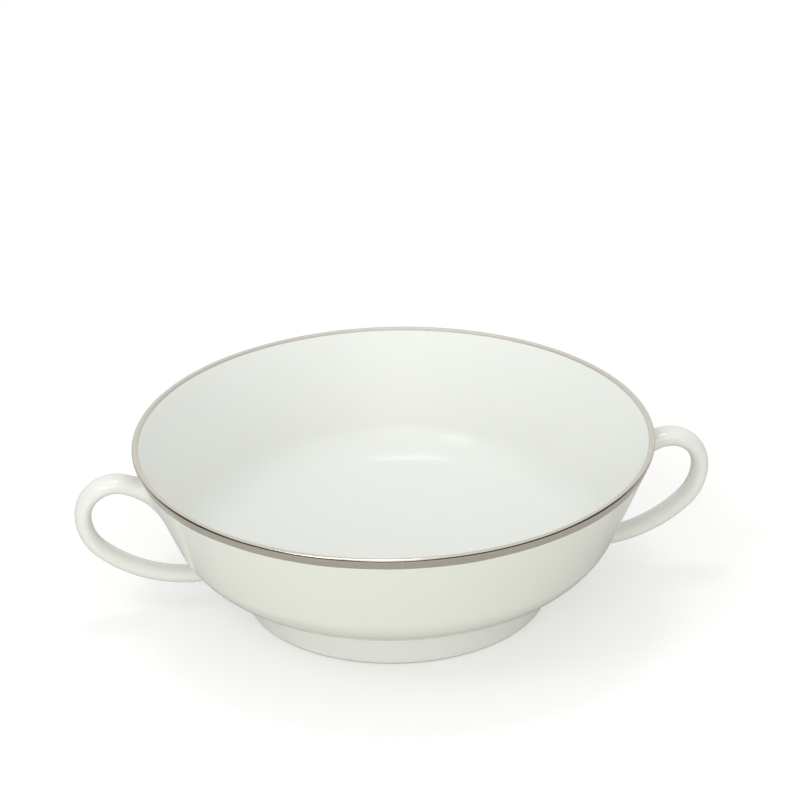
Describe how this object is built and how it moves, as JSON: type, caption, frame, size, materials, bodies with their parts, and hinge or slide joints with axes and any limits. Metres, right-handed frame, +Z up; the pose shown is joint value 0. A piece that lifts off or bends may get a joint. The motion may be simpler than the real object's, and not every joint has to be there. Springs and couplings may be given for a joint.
{
  "type": "bouillon cup",
  "caption": "Low porcelain soup cup with a flaring wall, oval strap handles on opposite sides, a turned foot ring and a metal band round the lip.",
  "frame": {"origin": "centre of the foot ring's resting plane, on the bowl's axis", "axes": "+Z up along the bowl's axis; the handles lie along +X and -X; -Y is the side towards the viewer"},
  "size_m": [0.1478, 0.12, 0.0402],
  "materials": {
    "porcelain": "gloss",
    "platinum_band": "polished metal film fired on the glaze"
  },
  "bodies": {
    "root": {"bouillon_cup": "porcelain"}
  },
  "joints": []
}
